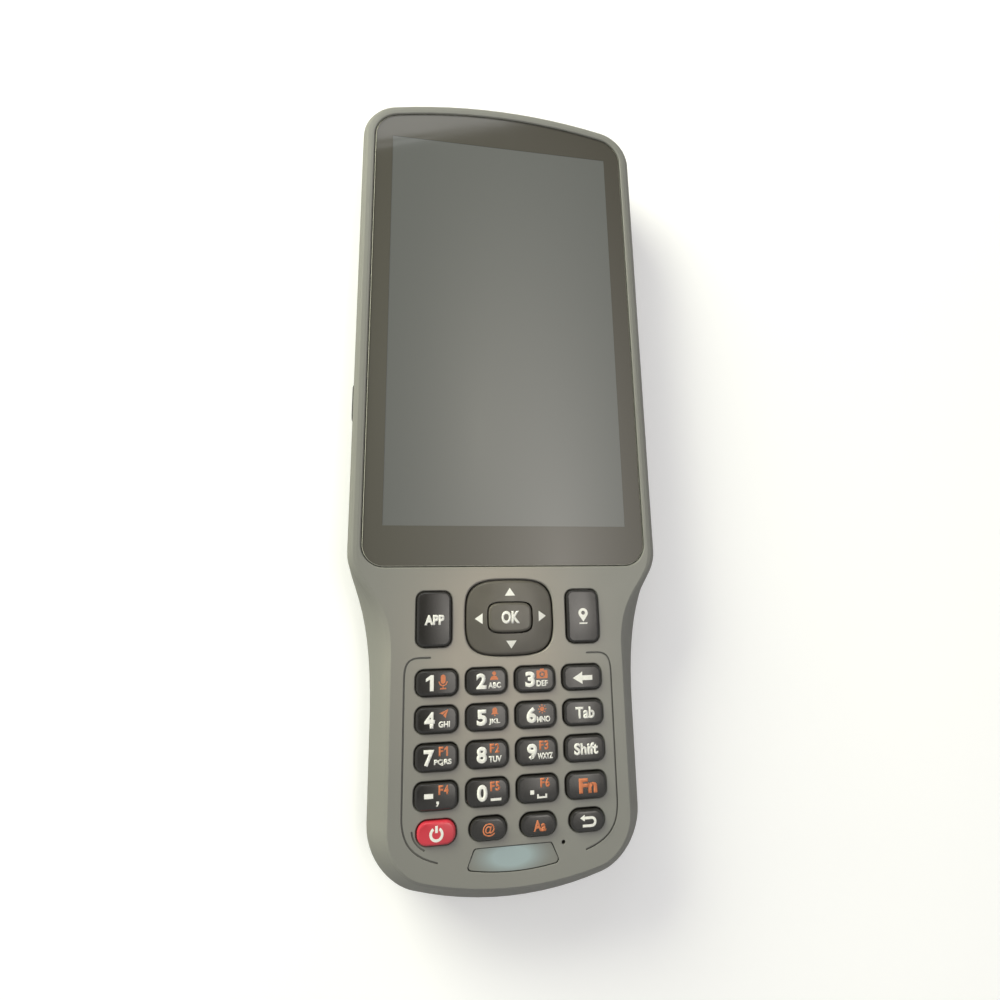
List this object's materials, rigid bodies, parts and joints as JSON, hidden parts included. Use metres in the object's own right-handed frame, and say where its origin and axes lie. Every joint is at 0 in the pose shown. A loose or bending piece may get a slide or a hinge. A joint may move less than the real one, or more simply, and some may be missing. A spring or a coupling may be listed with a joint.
{
  "type": "handheld data collector",
  "caption": "Handheld surveying data collector: touch display above a waisted grip with push keys, a rocking navigation ring, a side button, a port flap and a rear battery door.",
  "frame": {"origin": "middle of the flat back the device lies on, centred on its width and length", "axes": "+X to the device's right as its user reads it, +Y along its length towards the display end, +Z out of the screen"},
  "size_m": [0.0871, 0.2314, 0.0204],
  "materials": {
    "housing_front": "satin warm grey",
    "housing_rear": "satin warm grey",
    "rubber": "matte",
    "cover_glass": "polished",
    "foam_tape": "matte",
    "display": "dark, switched off",
    "light_alloy": "cast",
    "plate": "satin grey, paler blue grey in its middle",
    "silicone": "translucent grey",
    "dome_steel": "bright",
    "board": "solder mask green",
    "flex_film": "amber film",
    "tinned_steel": "tinned",
    "battery_can": "wrapped in dark film",
    "contact_brass": "plated",
    "dark_plastic": "matte black",
    "lens_glass": "polished",
    "ceramic": "fired ceramic",
    "screw_steel": "blackened",
    "button_plastic": "satin black",
    "key_gloss": "gloss charcoal",
    "ring_gloss": "satin grey",
    "key_red": "gloss red"
  },
  "bodies": {
    "case": {"front_housing": "housing_front", "rear_housing": "housing_rear", "housing_seal": "rubber", "cover_glass": "cover_glass", "glass_adhesive": "foam_tape", "display_module": "display", "midframe": "light_alloy", "nameplate": "plate", "keypad_mat": "silicone", "dome_contacts": "dome_steel", "keypad_board": "board", "keypad_flex": "flex_film", "main_board": "board", "shield_cans": "tinned_steel", "display_flex": "flex_film", "battery_pack": "battery_can", "battery_contacts": "contact_brass", "speaker": "dark_plastic", "microphone": "tinned_steel", "vibration_motor": "tinned_steel", "camera_module": "dark_plastic", "camera_window": "lens_glass", "flash_lens": "lens_glass", "gnss_antenna": "ceramic", "wireless_antenna": "flex_film", "usb_connector": "tinned_steel", "card_socket": "tinned_steel", "housing_screws": "screw_steel", "side_switch": "dark_plastic"},
    "battery_door": {"battery_door": "housing_rear", "door_seal": "rubber"},
    "door_screw_upper": {"door_screw_upper": "screw_steel"},
    "door_screw_lower": {"door_screw_lower": "screw_steel"},
    "usb_flap": {"usb_flap": "rubber"},
    "side_button": {"side_button": "button_plastic"},
    "nav_gimbal": {"nav_gimbal": "dark_plastic"},
    "nav_ring": {"nav_ring": "ring_gloss"},
    "ok_key": {"ok_key": "ring_gloss"},
    "app_key": {"app_key": "key_gloss"},
    "pin_key": {"pin_key": "key_gloss"},
    "key_1": {"key_1": "key_gloss"},
    "key_2": {"key_2": "key_gloss"},
    "key_3": {"key_3": "key_gloss"},
    "key_backspace": {"key_backspace": "key_gloss"},
    "key_4": {"key_4": "key_gloss"},
    "key_5": {"key_5": "key_gloss"},
    "key_6": {"key_6": "key_gloss"},
    "key_tab": {"key_tab": "key_gloss"},
    "key_7": {"key_7": "key_gloss"},
    "key_8": {"key_8": "key_gloss"},
    "key_9": {"key_9": "key_gloss"},
    "key_shift": {"key_shift": "key_gloss"},
    "key_minus": {"key_minus": "key_gloss"},
    "key_0": {"key_0": "key_gloss"},
    "key_dot": {"key_dot": "key_gloss"},
    "key_fn": {"key_fn": "key_gloss"},
    "key_power": {"key_power": "key_red"},
    "key_at": {"key_at": "key_gloss"},
    "key_letter_case": {"key_letter_case": "key_gloss"},
    "key_return": {"key_return": "key_gloss"}
  },
  "joints": [
    {"name": "battery_door_lift", "type": "slide", "parent": "case", "child": "battery_door", "axis": [0, 0, -1], "range_m": [0, 0.025]},
    {"name": "door_screw_upper_turn", "type": "hinge", "parent": "battery_door", "child": "door_screw_upper", "pos_m": [0, -0.016, 0.0009], "axis": [0, 0, 1], "range_deg": [0, 180]},
    {"name": "door_screw_lower_turn", "type": "hinge", "parent": "battery_door", "child": "door_screw_lower", "pos_m": [0, -0.096, 0.0009], "axis": [0, 0, 1], "range_deg": [0, 180]},
    {"name": "usb_flap_swing", "type": "hinge", "parent": "case", "child": "usb_flap", "pos_m": [-0.00725, -0.1155, 0.0049], "axis": [0, 0, -1], "range_deg": [0, 100]},
    {"name": "side_button_press", "type": "slide", "parent": "case", "child": "side_button", "axis": [1, 0, 0], "range_m": [0, 0.0004]},
    {"name": "nav_rock_up_down", "type": "hinge", "parent": "case", "child": "nav_gimbal", "pos_m": [0, -0.0458, 0.0152], "axis": [1, 0, 0], "range_deg": [-1.2, 1.2]},
    {"name": "nav_rock_left_right", "type": "hinge", "parent": "nav_gimbal", "child": "nav_ring", "pos_m": [0, -0.0458, 0.0152], "axis": [0, 1, 0], "range_deg": [-1.2, 1.2]},
    {"name": "ok_key_press", "type": "slide", "parent": "case", "child": "ok_key", "axis": [0, 0, -1], "range_m": [0, 0.0005]},
    {"name": "app_key_press", "type": "slide", "parent": "case", "child": "app_key", "axis": [0, 0, -1], "range_m": [0, 0.0005]},
    {"name": "pin_key_press", "type": "slide", "parent": "case", "child": "pin_key", "axis": [0, 0, -1], "range_m": [0, 0.0005]},
    {"name": "key_1_press", "type": "slide", "parent": "case", "child": "key_1", "axis": [0, 0, -1], "range_m": [0, 0.0005]},
    {"name": "key_2_press", "type": "slide", "parent": "case", "child": "key_2", "axis": [0, 0, -1], "range_m": [0, 0.0005]},
    {"name": "key_3_press", "type": "slide", "parent": "case", "child": "key_3", "axis": [0, 0, -1], "range_m": [0, 0.0005]},
    {"name": "key_backspace_press", "type": "slide", "parent": "case", "child": "key_backspace", "axis": [0, 0, -1], "range_m": [0, 0.0005]},
    {"name": "key_4_press", "type": "slide", "parent": "case", "child": "key_4", "axis": [0, 0, -1], "range_m": [0, 0.0005]},
    {"name": "key_5_press", "type": "slide", "parent": "case", "child": "key_5", "axis": [0, 0, -1], "range_m": [0, 0.0005]},
    {"name": "key_6_press", "type": "slide", "parent": "case", "child": "key_6", "axis": [0, 0, -1], "range_m": [0, 0.0005]},
    {"name": "key_tab_press", "type": "slide", "parent": "case", "child": "key_tab", "axis": [0, 0, -1], "range_m": [0, 0.0005]},
    {"name": "key_7_press", "type": "slide", "parent": "case", "child": "key_7", "axis": [0, 0, -1], "range_m": [0, 0.0005]},
    {"name": "key_8_press", "type": "slide", "parent": "case", "child": "key_8", "axis": [0, 0, -1], "range_m": [0, 0.0005]},
    {"name": "key_9_press", "type": "slide", "parent": "case", "child": "key_9", "axis": [0, 0, -1], "range_m": [0, 0.0005]},
    {"name": "key_shift_press", "type": "slide", "parent": "case", "child": "key_shift", "axis": [0, 0, -1], "range_m": [0, 0.0005]},
    {"name": "key_minus_press", "type": "slide", "parent": "case", "child": "key_minus", "axis": [0, 0, -1], "range_m": [0, 0.0005]},
    {"name": "key_0_press", "type": "slide", "parent": "case", "child": "key_0", "axis": [0, 0, -1], "range_m": [0, 0.0005]},
    {"name": "key_dot_press", "type": "slide", "parent": "case", "child": "key_dot", "axis": [0, 0, -1], "range_m": [0, 0.0005]},
    {"name": "key_fn_press", "type": "slide", "parent": "case", "child": "key_fn", "axis": [0, 0, -1], "range_m": [0, 0.0005]},
    {"name": "key_power_press", "type": "slide", "parent": "case", "child": "key_power", "axis": [0, 0, -1], "range_m": [0, 0.0005]},
    {"name": "key_at_press", "type": "slide", "parent": "case", "child": "key_at", "axis": [0, 0, -1], "range_m": [0, 0.0005]},
    {"name": "key_letter_case_press", "type": "slide", "parent": "case", "child": "key_letter_case", "axis": [0, 0, -1], "range_m": [0, 0.0005]},
    {"name": "key_return_press", "type": "slide", "parent": "case", "child": "key_return", "axis": [0, 0, -1], "range_m": [0, 0.0005]}
  ]
}
